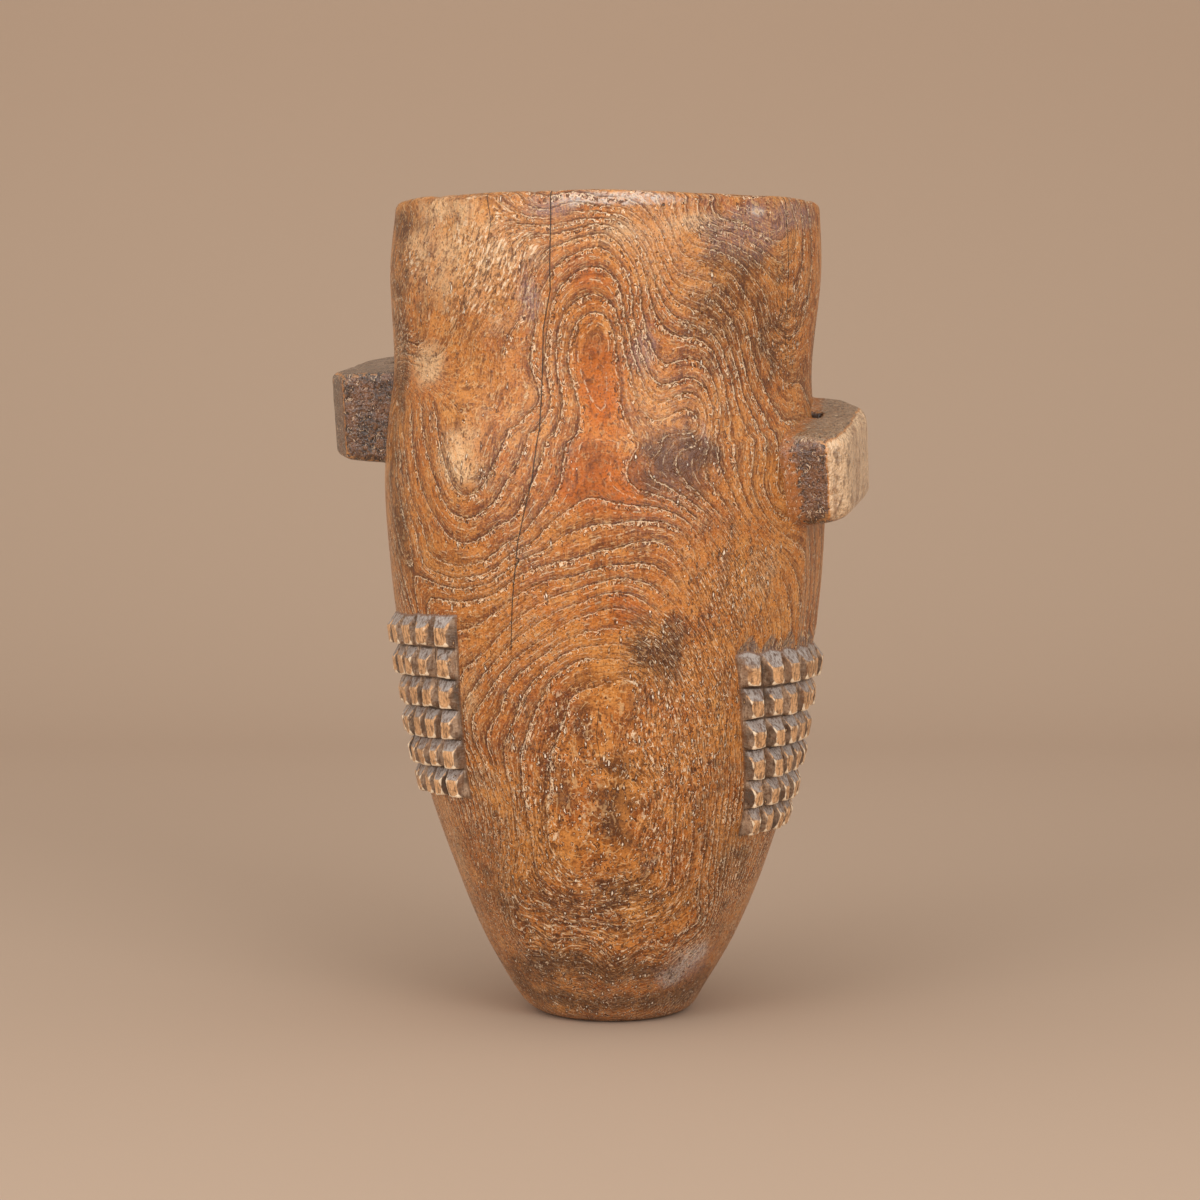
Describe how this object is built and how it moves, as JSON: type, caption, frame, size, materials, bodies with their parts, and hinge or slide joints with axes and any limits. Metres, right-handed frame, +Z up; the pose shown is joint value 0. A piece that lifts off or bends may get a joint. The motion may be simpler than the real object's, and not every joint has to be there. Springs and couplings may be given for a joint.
{
  "type": "wooden milk pail",
  "caption": "Deep carved wooden milk pail with a swelling belly, a small flat foot, pierced lugs to hold it by and fields of raised bosses below them.",
  "frame": {"origin": "centre of the flat underside of the foot", "axes": "+Z up along the pail's axis, +X through the middle of the right lug, +Y towards the pail's back"},
  "size_m": [0.2849, 0.2388, 0.4383],
  "materials": {
    "oiled_wood": "carved, oiled and worn to a dull shine",
    "handled_wood": "darkened and polished by hands",
    "worn_wood": "carved, pale on its worn faces"
  },
  "bodies": {
    "root": {"pail_body": "oiled_wood", "right_lug": "handled_wood", "left_lug": "handled_wood", "right_boss_field": "worn_wood", "left_boss_field": "worn_wood"}
  },
  "joints": []
}
